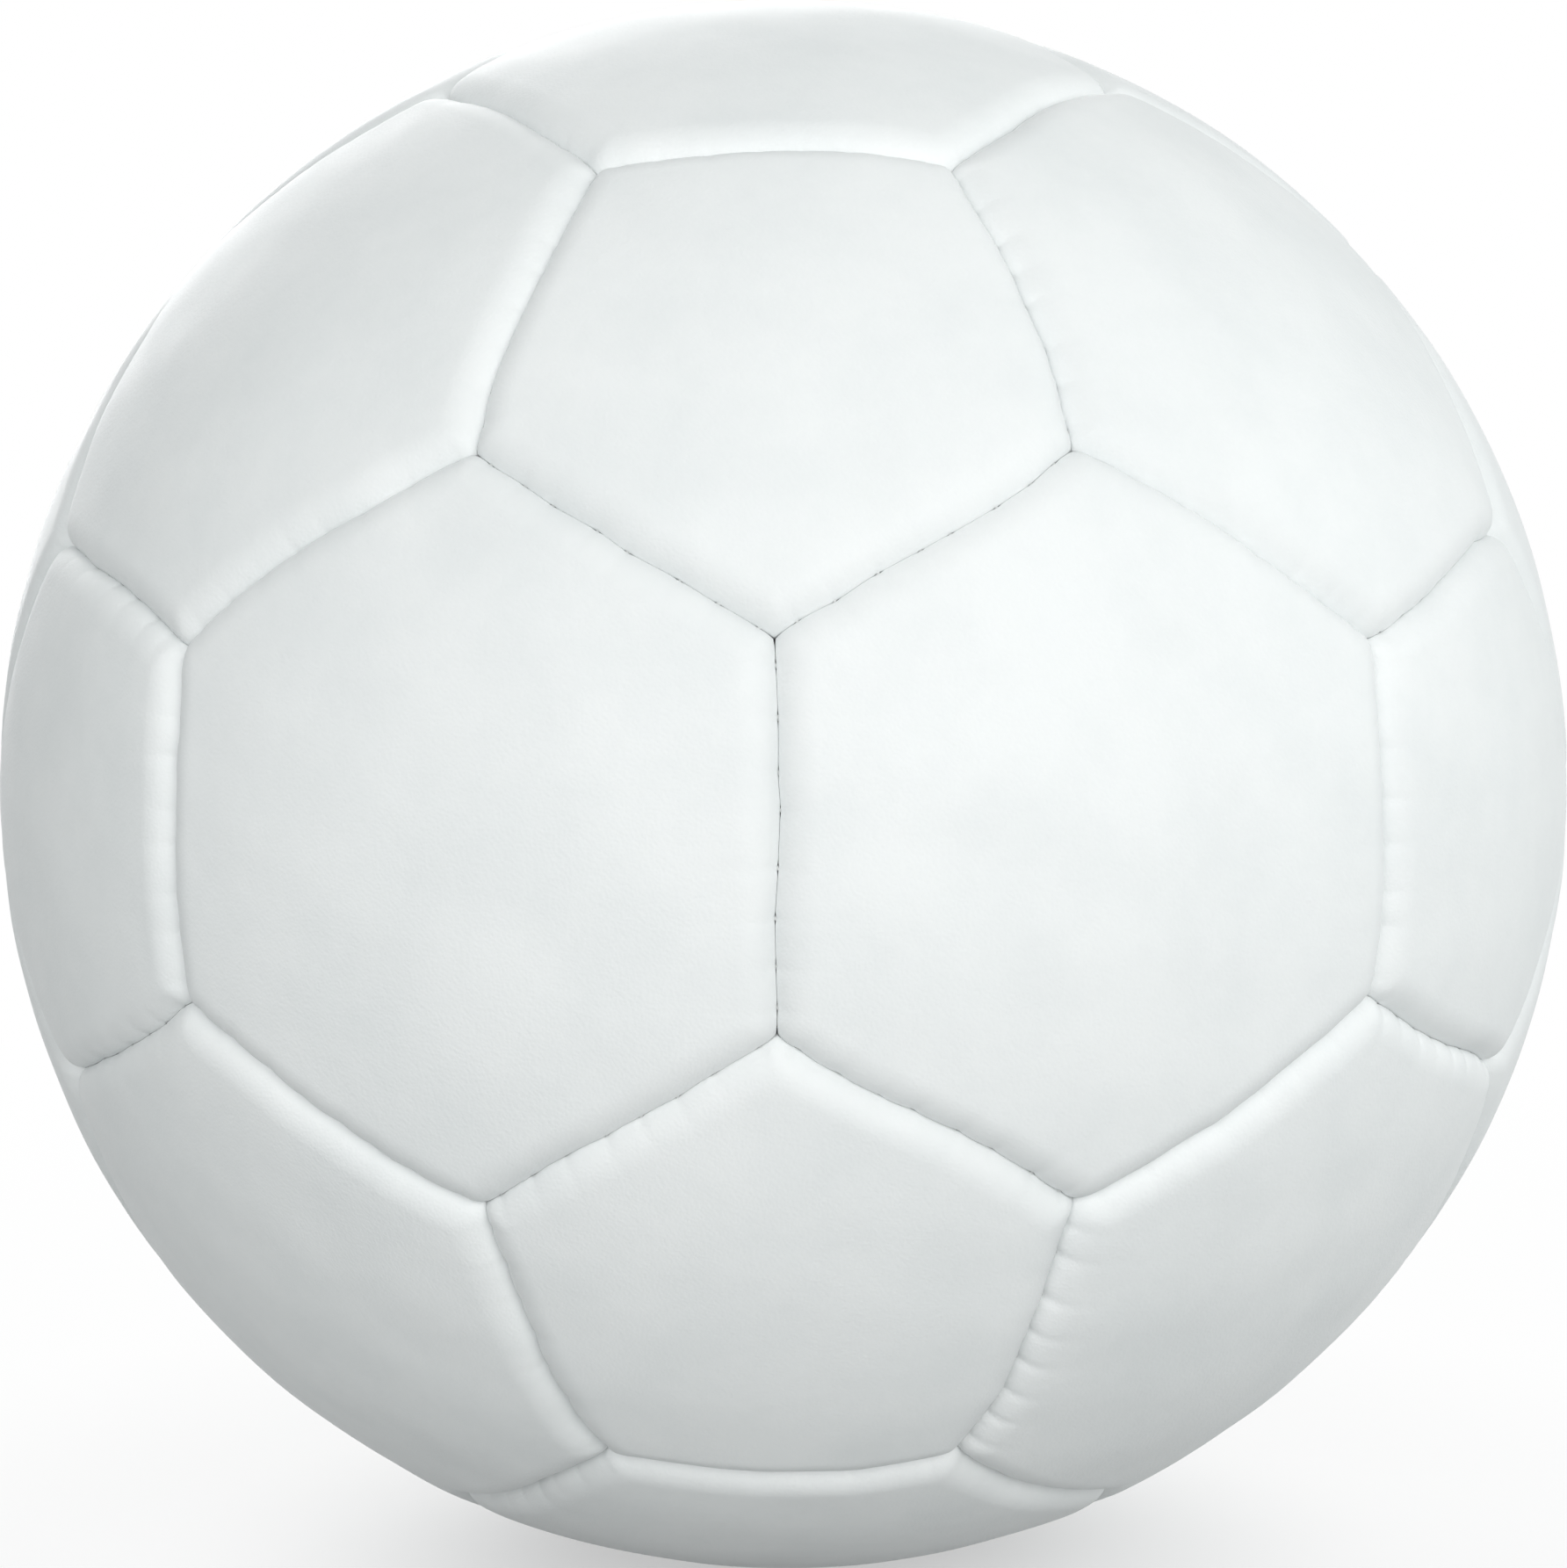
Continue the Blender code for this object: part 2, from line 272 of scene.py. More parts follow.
def shapeEdges(directions, ids):
    # distance below the ball's sphere and sideways shift of every point, from all the panel's seams
    dip = np.zeros(len(directions))
    pucker = np.zeros(len(directions))
    shift = np.zeros((len(directions), 3))
    shape = panelShape
    for side in range(len(ids)):
        a, b = ids[side], ids[(side + 1) % len(ids)]
        seam = seams[tuple(sorted((a, b)))]
        forward = a < b
        inward = seam["across"] if forward else -seam["across"]
        away = ballRadius * np.arcsin(np.clip(directions @ inward, -1, 1))
        turn = np.arctan2(directions @ seam["along"], directions @ seam["start"])
        place = np.clip(turn / seam["span"], 0, 1)
        phase = np.interp(place, seam["places"], np.arange(len(seam["places"])))
        offStitch = np.abs(phase - np.round(phase))
        fromCorner = np.minimum(place, 1 - place) * seam["span"] * ballRadius

        bend = np.clip(1 - away / shape["rounding"], 0, 1) * shape["steepness"]
        fall = (1 - np.sqrt(1 - bend ** 2)) / (1 - math.sqrt(1 - shape["steepness"] ** 2))
        dip += fall ** shape["cornerBlend"]

        atStitch = np.exp(-(offStitch / shape["stitchWidth"]) ** 2)
        pull = smoothBetween(seam["pull"][0 if forward else 1], phase)
        gather = seam["gather"][0 if forward else 1]
        ends = np.clip(fromCorner / shape["puckerStart"], 0, 1)
        fold = (0.5 + 0.5 * np.cos(2 * np.pi * phase)) ** shape["puckerNarrow"]
        pucker += gather * pull * fold * ends * np.exp(-np.maximum(away, 0) / shape["puckerReach"])

        lip = shape["lipGap"] + shape["stitchGap"] * atStitch * pull * ends
        lip = lip + shape["cornerGap"] * np.exp(-(fromCorner / shape["cornerGapReach"]) ** 2)
        lip = lip * np.exp(-np.maximum(away, 0) / shape["lipReach"])
        wander = seamWander(seam, place, phase) * np.exp(-(away / shape["wanderReach"]) ** 2)
        shift += lip[:, None] * inward + wander[:, None] * seam["across"]
    depth = shape["seamDepth"] * dip ** (1 / shape["cornerBlend"])
    return depth + shape["pucker"] * pucker, shift


def bridgeRings(fine, coarse, flip):
    # triangles between two closed rings, with a whole number of fine points for each coarse one
    ratio = len(fine) // len(coarse)
    faces = []
    for i in range(len(coarse)):
        here, following = coarse[i], coarse[(i + 1) % len(coarse)]
        for step in range(ratio):
            a, b = fine[i * ratio + step], fine[(i * ratio + step + 1) % len(fine)]
            faces.append((b, a, here if step < ratio // 2 else following))
        faces.append((here, following, fine[i * ratio + ratio // 2]))
    return [face[::-1] for face in faces] if flip else faces


def ringQuads(upper, lower):
    # each ring in turn, wound so that the faces look away from the panel's middle
    return [(upper[i], upper[i - 1], lower[i - 1], lower[i]) for i in range(len(upper))]


def makeMesh(name, points, faces, slots):
    mesh = bpy.data.meshes.new(name)
    sizes = np.array([len(face) for face in faces])
    loops = np.concatenate([np.asarray(face) for face in faces]).astype(np.int32)
    mesh.vertices.add(len(points))
    mesh.vertices.foreach_set("co", np.asarray(points, np.float32).ravel())
    mesh.loops.add(len(loops))
    mesh.loops.foreach_set("vertex_index", loops)
    mesh.polygons.add(len(faces))
    starts = np.concatenate([[0], np.cumsum(sizes)[:-1]])
    mesh.polygons.foreach_set("loop_start", starts.astype(np.int32))
    mesh.polygons.foreach_set("material_index", np.asarray(slots, np.int32))
    mesh.update(calc_edges=True)
    mesh.validate()
    mesh.shade_smooth()
    return mesh


leatherGrids = {sides: fanGrid(sides, panelShape["rows"]) for sides in (5, 6)}
liningGrids = {sides: fanGrid(sides, panelShape["liningRows"]) for sides in (5, 6)}


def edgeShares(apothem):
    # even rows over the crown, then rows at even turns round the edge, closest at the seam
    crownRows = panelShape["rows"] - panelShape["edgeRows"]
    edge = panelShape["rounding"] / (ballRadius * apothem)
    crown = np.linspace(0, 1 - edge, crownRows + 1)
    turns = np.pi / 2 * (1 - np.arange(1, panelShape["edgeRows"] + 1) / panelShape["edgeRows"])
    return np.concatenate([crown, 1 - edge * (1 - np.cos(turns))])


def liningShares(apothem):
    # turned-in edge, then the underside
    inset = panelShape["thickness"] / (ballRadius * apothem)
    under = np.linspace(0, 1 - inset * panelShape["liningInset"], panelShape["liningRows"])
    return np.append(under, 1 - inset)


def ringIndices(grid, sides, ring, offset=0):
    return [offset + grid["first"][ring] + i for i in range(sides * ring)]


def buildPanel(name):
    middle, ids = outlines[name]
    corners = seamCorners[ids]
    sides = len(ids)
    outerGrid, liningGrid = leatherGrids[sides], liningGrids[sides]
    apothem = math.asin(float(unit(np.cross(corners[0], corners[1])) @ middle))
    shape = panelShape
    withHole = name.endswith("valve")

    directions = gridDirections(outerGrid, middle, corners, edgeShares(apothem))
    depth, shift = shapeEdges(directions, ids)
    facing = unit(directions + shift / ballRadius)
    waves = slowWaves(directions * ballRadius) * shape["unevenness"]
    radius = ballRadius - depth + waves - shape["unevenness"]
    points = [facing * radius[:, None]]
    faces = [tuple(face) for face in outerGrid["faces"]]
    total = len(facing)

    # the edge turned in below the seam
    edge = ringIndices(outerGrid, sides, shape["rows"])
    turnIn = [edge]
    for share in shape["turnIn"]:
        level = radius[edge] * (1 - share) + turnInEnd * share
        points.append(facing[edge] * level[:, None])
        turnIn.append(list(range(total, total + len(edge))))
        total += len(edge)
        faces += ringQuads(turnIn[-2], turnIn[-1])

    # the lining, closed onto the turned-in edge
    underside = gridDirections(liningGrid, middle, corners, liningShares(apothem))
    height = np.full(len(underside), ballRadius - shape["thickness"])
    height[ringIndices(liningGrid, sides, shape["liningRows"] - 1)] -= shape["liningFold"]
    rim = ringIndices(liningGrid, sides, shape["liningRows"])
    height[rim] = turnInEnd
    points.append(underside * height[:, None])
    liningStart = total
    total += len(underside)
    leatherFaces = len(faces)
    faces += bridgeRings(turnIn[-1], [liningStart + i for i in rim], flip=False)
    faces += [tuple(liningStart + face[::-1]) for face in liningGrid["faces"]]
    slots = [0] * leatherFaces + [1] * (len(faces) - leatherFaces)

    if withHole:
        holeRows = shape["holeRows"]
        liningHole = holeRows * shape["liningRows"] // (shape["rows"] - shape["edgeRows"])
        dropped = set(range(outerGrid["first"][holeRows]))
        dropped |= set(range(liningStart, liningStart + liningGrid["first"][liningHole]))
        kept = [i for i, face in enumerate(faces) if not dropped & set(face)]
        faces, slots = [faces[i] for i in kept], [slots[i] for i in kept]
        ring = ringIndices(outerGrid, sides, holeRows)
        around = unit(facing[ring] - np.outer(facing[ring] @ middle, middle))
        roll = shape["holeRoll"]
        levels = [(wider, 0.0) for wider in shape["holeFlat"]]
        curve = np.linspace(0, np.pi / 2, 6)
        levels += [(roll * (1 - math.sin(t)), roll * (1 - math.cos(t))) for t in curve]
        levels += [(0.0, shape["thickness"] + shape["holeLap"])]
        for wider, deeper in levels:
            away = shape["holeRadius"] + wider
            rise = math.sqrt(ballRadius ** 2 - away ** 2) - deeper - shape["unevenness"]
            points.append(around * away + middle * rise)
            lower = list(range(total, total + len(ring)))
            total += len(ring)
            faces += ringQuads(lower, ring)
            slots += [0] * len(ring)
            ring = lower
        inner = ringIndices(liningGrid, sides, liningHole, liningStart)
        closing = bridgeRings(ring, inner, flip=True)
        faces += closing
        slots += [1] * len(closing)

    points = pullCorners(np.concatenate(points), ids)
    used = np.unique(np.concatenate([np.asarray(face) for face in faces]))
    order = np.full(len(points), -1)
    order[used] = np.arange(len(used))
    faces = [tuple(order[list(face)]) for face in faces]
    mesh = makeMesh(name, points[used], faces, slots)
    piece = bpy.data.objects.new(name.replace("_panel", "_cover"), mesh)
    bpy.context.scene.collection.objects.link(piece)
    return piece


# finishes
def newMaterial(name):
    material = bpy.data.materials.new(name)
    material.use_nodes = True
    nodes = material.node_tree.nodes
    return material, nodes, material.node_tree.links, nodes["Principled BSDF"]


def addNode(nodes, kind, place, **values):
    node = nodes.new(kind)
    node.location = place
    for key, value in values.items():
        if key in node.inputs:
            node.inputs[key].default_value = value
        else:
            setattr(node, key, value)
    return node


leatherLook = dict(
    white=(0.875, 0.892, 0.892, 1),
    greyer=(0.828, 0.850, 0.852, 1),
    mottleSize=55.0,       # all sizes are cells a metre
    mottle=(0.32, 0.62),   # stretch of the noise that goes from greyer to white
    glossSize=170.0,
    roughness=(0.44, 0.56),
    specular=0.27,
    grainSize=2600,
    grainShare=0.6,        # of the grain in the bump, beside the creases
    grain=0.30,
    grainDepth=0.0002,
    creaseSize=420,
)


def makeLeather():
    look = leatherLook
    material, nodes, links, shader = newMaterial("white_synthetic_leather")
    place = addNode(nodes, "ShaderNodeTexCoord", (-1300, 0))
    mottle = addNode(nodes, "ShaderNodeTexNoise", (-1000, 300),
                     Scale=look["mottleSize"], Detail=5.0, Roughness=0.6)
    tint = addNode(nodes, "ShaderNodeMix", (-500, 350), data_type="RGBA")
    tint.inputs[6].default_value = look["greyer"]
    tint.inputs[7].default_value = look["white"]
    spread = addNode(nodes, "ShaderNodeMapRange", (-750, 300))
    spread.inputs["From Min"].default_value, spread.inputs["From Max"].default_value = look["mottle"]
    links.new(place.outputs["Object"], mottle.inputs["Vector"])
    links.new(mottle.outputs["Fac"], spread.inputs["Value"])
    links.new(spread.outputs["Result"], tint.inputs["Factor"])
    links.new(tint.outputs[2], shader.inputs["Base Color"])

    gloss = addNode(nodes, "ShaderNodeTexNoise", (-1000, 0),
                    Scale=look["glossSize"], Detail=4.0, Roughness=0.55)
    shine = addNode(nodes, "ShaderNodeMapRange", (-750, 0))
    shine.inputs["To Min"].default_value, shine.inputs["To Max"].default_value = look["roughness"]
    links.new(place.outputs["Object"], gloss.inputs["Vector"])
    links.new(gloss.outputs["Fac"], shine.inputs["Value"])
    links.new(shine.outputs["Result"], shader.inputs["Roughness"])

    # pebbled grain, broken up by a coarser crease
    grain = addNode(nodes, "ShaderNodeTexVoronoi", (-1000, -300),
                    feature="SMOOTH_F1", Scale=look["grainSize"])
    crease = addNode(nodes, "ShaderNodeTexNoise", (-1000, -600),
                     Scale=look["creaseSize"], Detail=6.0, Roughness=0.62)
    height = addNode(nodes, "ShaderNodeMath", (-750, -400), operation="MULTIPLY_ADD")
    height.inputs[1].default_value = look["grainShare"]
    bump = addNode(nodes, "ShaderNodeBump", (-400, -400),
                   Strength=look["grain"], Distance=look["grainDepth"])
    links.new(place.outputs["Object"], grain.inputs["Vector"])
    links.new(place.outputs["Object"], crease.inputs["Vector"])
    links.new(grain.outputs["Distance"], height.inputs[0])
    links.new(crease.outputs["Fac"], height.inputs[2])
    links.new(height.outputs["Value"], bump.inputs["Height"])
    links.new(bump.outputs["Normal"], shader.inputs["Normal"])
    shader.inputs["Specular IOR Level"].default_value = look["specular"]
    return material


# lining cloth: the darker hollow tone is painted shade between the yarns, where the weave's relief is
# low; the yarn tone is the cloth's own colour
clothLook = dict(
    shadedHollow=(0.44, 0.41, 0.34, 1),
    yarn=(0.68, 0.65, 0.56, 1),
    yarnSize=420.0,
    waver=0.6,
    relief=0.5,
    reliefDepth=0.0003,
    roughness=0.9,
)


def makeCloth():
    look = clothLook
    material, nodes, links, shader = newMaterial("lining_cloth")
    place = addNode(nodes, "ShaderNodeTexCoord", (-1100, 0))
    warp = addNode(nodes, "ShaderNodeTexWave", (-850, 200), bands_direction="X")
    weft = addNode(nodes, "ShaderNodeTexWave", (-850, -150), bands_direction="Z")
    weave = addNode(nodes, "ShaderNodeMath", (-600, 0), operation="MAXIMUM")
    tint = addNode(nodes, "ShaderNodeMix", (-350, 150), data_type="RGBA")
    tint.inputs[6].default_value = look["shadedHollow"]
    tint.inputs[7].default_value = look["yarn"]
    bump = addNode(nodes, "ShaderNodeBump", (-350, -200),
                   Strength=look["relief"], Distance=look["reliefDepth"])
    for yarns in (warp, weft):
        yarns.inputs["Scale"].default_value = look["yarnSize"]
        yarns.inputs["Distortion"].default_value = look["waver"]
        links.new(place.outputs["Object"], yarns.inputs["Vector"])
    links.new(warp.outputs["Fac"], weave.inputs[0])
    links.new(weft.outputs["Fac"], weave.inputs[1])
    # painted shade: the weave's height also darkens the hollows between the yarns
    links.new(weave.outputs["Value"], tint.inputs["Factor"])
    links.new(weave.outputs["Value"], bump.inputs["Height"])
    links.new(tint.outputs[2], shader.inputs["Base Color"])
    links.new(bump.outputs["Normal"], shader.inputs["Normal"])
    shader.inputs["Roughness"].default_value = look["roughness"]
    return material


# thread tones with painted shade: both are greyer than the white waxed thread, so that the stitch holes
# read dark, and the darker one sits in the low places of the fibre relief
threadLook = dict(
    shadedLowFibre=(0.46, 0.47, 0.47, 1),
    bright=(0.74, 0.75, 0.74, 1),
    fibreSize=5200.0,
    relief=0.4,
    reliefDepth=0.0001,
    roughness=0.6,
)


def makeThread():
    look = threadLook
    material, nodes, links, shader = newMaterial("waxed_thread")
    place = addNode(nodes, "ShaderNodeTexCoord", (-1000, 0))
    fibre = addNode(nodes, "ShaderNodeTexNoise", (-750, 0), Scale=look["fibreSize"], Detail=3.0)
    tint = addNode(nodes, "ShaderNodeMix", (-400, 150), data_type="RGBA")
    tint.inputs[6].default_value = look["shadedLowFibre"]
    tint.inputs[7].default_value = look["bright"]
    bump = addNode(nodes, "ShaderNodeBump", (-400, -200),
                   Strength=look["relief"], Distance=look["reliefDepth"])
    links.new(place.outputs["Object"], fibre.inputs["Vector"])
    # painted shade: the fibre noise that makes the relief also darkens its low places
    links.new(fibre.outputs["Fac"], tint.inputs["Factor"])
    links.new(fibre.outputs["Fac"], bump.inputs["Height"])
    links.new(tint.outputs[2], shader.inputs["Base Color"])
    links.new(bump.outputs["Normal"], shader.inputs["Normal"])
    shader.inputs["Roughness"].default_value = look["roughness"]
    return material


rubberLook = dict(
    cloudSize=260.0,
    cloud=(0.45, 0.80),    # stretch of the noise where the dust settles
    skinSize=3200.0,
    relief=0.25,
    reliefDepth=0.0001,
)
valveLook = dict(
    dark=(0.028, 0.028, 0.030, 1),
    dusty=(0.11, 0.11, 0.108, 1),
    dust=0.55,
    roughness=(0.48, 0.66),
)
bladderLook = dict(
    dark=(0.018, 0.018, 0.020, 1),
    dusty=(0.09, 0.088, 0.082, 1),
    dust=0.8,
    roughness=(0.42, 0.60),
)


def makeRubber(name, dark, dusty, dust, roughness):
    look = rubberLook
    material, nodes, links, shader = newMaterial(name)
    place = addNode(nodes, "ShaderNodeTexCoord", (-1100, 0))
    cloud = addNode(nodes, "ShaderNodeTexNoise", (-850, 200),
                    Scale=look["cloudSize"], Detail=6.0, Roughness=0.65)
    spread = addNode(nodes, "ShaderNodeMapRange", (-600, 200))
    spread.inputs["From Min"].default_value, spread.inputs["From Max"].default_value = look["cloud"]
    spread.inputs["To Max"].default_value = dust
    tint = addNode(nodes, "ShaderNodeMix", (-350, 200), data_type="RGBA")
    tint.inputs[6].default_value = dark
    tint.inputs[7].default_value = dusty
    skin = addNode(nodes, "ShaderNodeTexNoise", (-850, -150), Scale=look["skinSize"], Detail=3.0)
    shine = addNode(nodes, "ShaderNodeMapRange", (-600, -50))
    shine.inputs["To Min"].default_value, shine.inputs["To Max"].default_value = roughness
    bump = addNode(nodes, "ShaderNodeBump", (-350, -250),
                   Strength=look["relief"], Distance=look["reliefDepth"])
    links.new(place.outputs["Object"], cloud.inputs["Vector"])
    links.new(place.outputs["Object"], skin.inputs["Vector"])
    links.new(cloud.outputs["Fac"], spread.inputs["Value"])
    links.new(spread.outputs["Result"], tint.inputs["Factor"])
    links.new(cloud.outputs["Fac"], shine.inputs["Value"])
    links.new(shine.outputs["Result"], shader.inputs["Roughness"])
    links.new(skin.outputs["Fac"], bump.inputs["Height"])
    links.new(tint.outputs[2], shader.inputs["Base Color"])
    links.new(bump.outputs["Normal"], shader.inputs["Normal"])
    return material


leather = makeLeather()
cloth = makeCloth()
thread = makeThread()
valveRubber = makeRubber("valve_rubber", **valveLook)
bladderRubber = makeRubber("bladder_rubber", **bladderLook)


def dress(piece, body, slot, replaced, *materials):
    for material in materials:
        piece.data.materials.append(material)
    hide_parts(replaced)
    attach(piece, body)


for panelName in panelNames:
    dress(buildPanel(panelName), "ball", "panel_leather", panelName, leather, cloth)
print(f"{len(panelNames)} panels covered")


# stitches
strandShape = dict(
    length=0.0017,
    thickness=0.00052,
    lean=0.55,             # radians off square to the seam
    leanSpread=0.2,
    below=0.00046,         # under the lips
    rings=8,
    sides=8,
    ply=0.12,              # groove between the two plies
    twist=2.6,             # radians from the middle to an end
    roundEnd=6,            # how late the ends begin to round off
    tip=0.15,              # least thickness there
    lap=0.7,               # of the thickness, from one strand to the one below
    roll=3.0,              # most that a strand is turned about itself, in radians
)


def strandPoints(middle, along, outward, turn):
    # a short two-ply strand with round ends
    shape = strandShape
    third = np.cross(along, outward)
    points = []
    for ring in range(shape["rings"]):
        t = -1 + 2 * ring / (shape["rings"] - 1)
        thick = shape["thickness"] / 2 * max(1 - abs(t) ** shape["roundEnd"], shape["tip"]) ** 0.5
        for side in range(shape["sides"]):
            angle = 2 * math.pi * side / shape["sides"]
            groove = 0.5 + 0.5 * math.cos(2 * (angle - turn - shape["twist"] * t))
            around = thick * (1 - shape["ply"] * groove)
            rim = outward * math.cos(angle) + third * math.sin(angle)
            points.append(middle + along * (t * shape["length"] / 2) + rim * around)
    return points


def strandFaces(start):
    rings, sides = strandShape["rings"], strandShape["sides"]
    faces = []
    for ring in range(rings - 1):
        for side in range(sides):
            a, b = start + ring * sides + side, start + ring * sides + (side + 1) % sides
            faces.append((a, a + sides, b + sides, b))
    faces.append(tuple(start + side for side in range(sides)))
    faces.append(tuple(start + (rings - 1) * sides + side for side in reversed(range(sides))))
    return faces


def buildStitches():
    draw = random.Random(stitching["seed"] + 1)
    points, faces = [], []
    for pair in sorted(seams):
        seam = seams[pair]
        for number, place in enumerate(seam["places"][1:-1], start=1):
            turn = place * seam["span"]
            wander = float(seamWander(seam, np.array([place]), np.array([float(number)]))[0])
            outward = unit(seam["start"] * math.cos(turn) + seam["along"] * math.sin(turn)
                           + seam["across"] * wander / ballRadius)
            forwards = np.cross(seam["across"], outward)
            level = ballRadius - panelShape["seamDepth"] - strandShape["below"]
            for layer, lean in enumerate((strandShape["lean"], -strandShape["lean"])):
                lean += draw.uniform(-strandShape["leanSpread"], strandShape["leanSpread"])
                across = unit(seam["across"] * math.cos(lean) + forwards * math.sin(lean))
                middle = outward * (level - layer * strandShape["thickness"] * strandShape["lap"])
                faces += strandFaces(len(points))
                points += strandPoints(middle, across, outward, draw.uniform(0, strandShape["roll"]))
    points = pullCorners(np.array(points), range(len(seamCorners)))
    mesh = makeMesh("seam_stitches", points, faces, [0] * len(faces))
    piece = bpy.data.objects.new("seam_stitches", mesh)
    bpy.context.scene.collection.objects.link(piece)
    return piece


dress(buildStitches(), "ball", "seam_thread", "seam_thread", thread)
print("stitches laid in the seams")


# valve
valveShape = dict(
    steps=96,
    face=0.1095,           # height of the nipple's face above the ball's centre
    nipple=0.0045,
    edge=0.00055,          # rounding of the nipple
    chamfer=0.0003,        # round the seat
    seat=0.0029,           # recess for the plug's head
    seatDepth=0.0016,
    bore=0.0020,
    boreEnd=0.0920,
    fillet=0.0006,         # from the nipple to the base
    base=0.0150,
    baseTop=0.1062,
    baseBottom=0.1042,
    stem=0.0060,
    stemTop=0.0004,        # fillet under the base
    stemRound=0.0012,
    stemEnd=0.0898,
    airHole=0.0012,
    gap=0.0003,            # round the plug
    needle=0.0006,
    needleEnd=0.0030,      # plug left below the needle's hole
    funnel=0.0013,
    funnelDepth=0.0009,
    funnelLip=((0.0002, 0.00012), (0.0004, 0.0)),    # further out, below the top
    headRound=0.0004,
    shankRound=0.0006,
    sharpFrom=50,          # degrees
)


def arc(centre, radius, begin, end, steps=6):
    angles = np.linspace(math.radians(begin), math.radians(end), steps + 1)
    return [(centre[0] + radius * math.cos(t), centre[1] + radius * math.sin(t)) for t in angles]


def onSphere(radius, begin, end, steps=5):
    return [(away, math.sqrt(radius ** 2 - away ** 2)) for away in np.linspace(begin, end, steps + 1)]


def turnProfile(name, profile, closed):
    # spun round the ball's centre line, then tipped onto the valve's axis
    bm = bmesh.new()
    verts = [bm.verts.new((away, 0, height)) for away, height in profile]
    edges = [bm.edges.new(pair) for pair in zip(verts, verts[1:])]
    if closed:
        edges.append(bm.edges.new((verts[-1], verts[0])))
    bmesh.ops.spin(bm, geom=verts + edges, cent=(0, 0, 0), axis=(0, 0, 1),
                   angle=2 * math.pi, steps=valveShape["steps"])
    bmesh.ops.remove_doubles(bm, verts=bm.verts, dist=1e-7)
    bmesh.ops.recalc_face_normals(bm, faces=bm.faces)
    mesh = bpy.data.meshes.new(name)
    bm.to_mesh(mesh)
    bm.free()
    mesh.transform(valveAxis.to_track_quat("Z", "Y").to_matrix().to_4x4())
    mesh.shade_smooth()
    mesh.set_sharp_from_angle(angle=math.radians(valveShape["sharpFrom"]))
    piece = bpy.data.objects.new(name, mesh)
    bpy.context.scene.collection.objects.link(piece)
    return piece


def buildHousing():
    v = valveShape
    face, edge, stemRound = v["face"], v["edge"], v["stemRound"]
    profile = [(v["seat"], face - v["chamfer"]), (v["seat"] + v["chamfer"], face)]
    profile += arc((v["nipple"] - edge, face - edge), edge, 90, 0)
    profile += [(v["nipple"], v["baseTop"] + v["fillet"])]
    profile += onSphere(v["baseTop"], v["nipple"] + v["fillet"], v["base"])
    profile += onSphere(v["baseBottom"], v["base"], v["stem"] + v["stemTop"])
    profile += arc((v["stem"] - stemRound, v["stemEnd"] + stemRound), stemRound, 0, -90)
    profile += [(v["airHole"], v["stemEnd"]), (v["airHole"], v["boreEnd"]), (v["bore"], v["boreEnd"])]
    profile += [(v["bore"], face - v["seatDepth"]), (v["seat"], face - v["seatDepth"])]
    return turnProfile("valve_nipple", profile, True)


def buildPlug():
    v = valveShape
    top = v["face"] - v["gap"]
    head, shank = v["seat"] - v["gap"], v["bore"] - v["gap"]
    under, bottom = v["face"] - v["seatDepth"] + v["gap"], v["boreEnd"] + v["gap"]
    holeEnd, throat = bottom + v["needleEnd"], top - v["funnelDepth"]
    headRound, shankRound = v["headRound"], v["shankRound"]
    profile = [(0.0, holeEnd), (v["needle"], holeEnd), (v["needle"], throat)]
    profile += arc((v["funnel"], throat), v["funnel"] - v["needle"], 180, 90)[1:]
    profile += [(v["funnel"] + further, top - below) for further, below in v["funnelLip"]]
    profile += arc((head - headRound, top - headRound), headRound, 90, 0)
    profile += [(head, under), (shank, under)]
    profile += arc((shank - shankRound, bottom + shankRound), shankRound, 0, -90)
    profile += [(0.0, bottom)]
    return turnProfile("valve_needle_plug", profile, False)


dress(buildHousing(), "ball", "valve_rubber", "valve_housing", valveRubber)
dress(buildPlug(), "valve_plug", "valve_rubber", "valve_plug", valveRubber)

# the bladder and the cloth ring keep their solids
for nodeName, finish in (("bladder", bladderRubber), ("valve_reinforcing_ring", cloth)):
    kept = frame["nodes"][nodeName]
    kept.data.materials.clear()
    kept.data.materials.append(finish)
print("valve and bladder finished")


# camera
photoCamera = dict(
    distance=0.4675,       # from the ball's centre
    elevation=3.25,
    azimuth=0.50,
    roll=-0.40,
    lens=74.4,
    sensor=36.0,
    clipStart=0.01,
)


def placeCamera():
    c = photoCamera
    camera = bpy.data.objects.new("photo_camera", bpy.data.cameras.new("photo_camera"))
    bpy.context.scene.collection.objects.link(camera)
    up, around = math.radians(c["elevation"]), math.radians(c["azimuth"])
    away = Vector((math.cos(up) * math.sin(around), -math.cos(up) * math.cos(around), math.sin(up)))
    camera.location = away * c["distance"]
    aim = (-away).to_track_quat("-Z", "Y").to_matrix()
    camera.rotation_euler = (aim @ Matrix.Rotation(math.radians(c["roll"]), 3, "Z")).to_euler()
    camera.data.lens = c["lens"]
    camera.data.sensor_width = c["sensor"]
    camera.data.clip_start = c["clipStart"]
    bpy.context.scene.camera = camera


placeCamera()


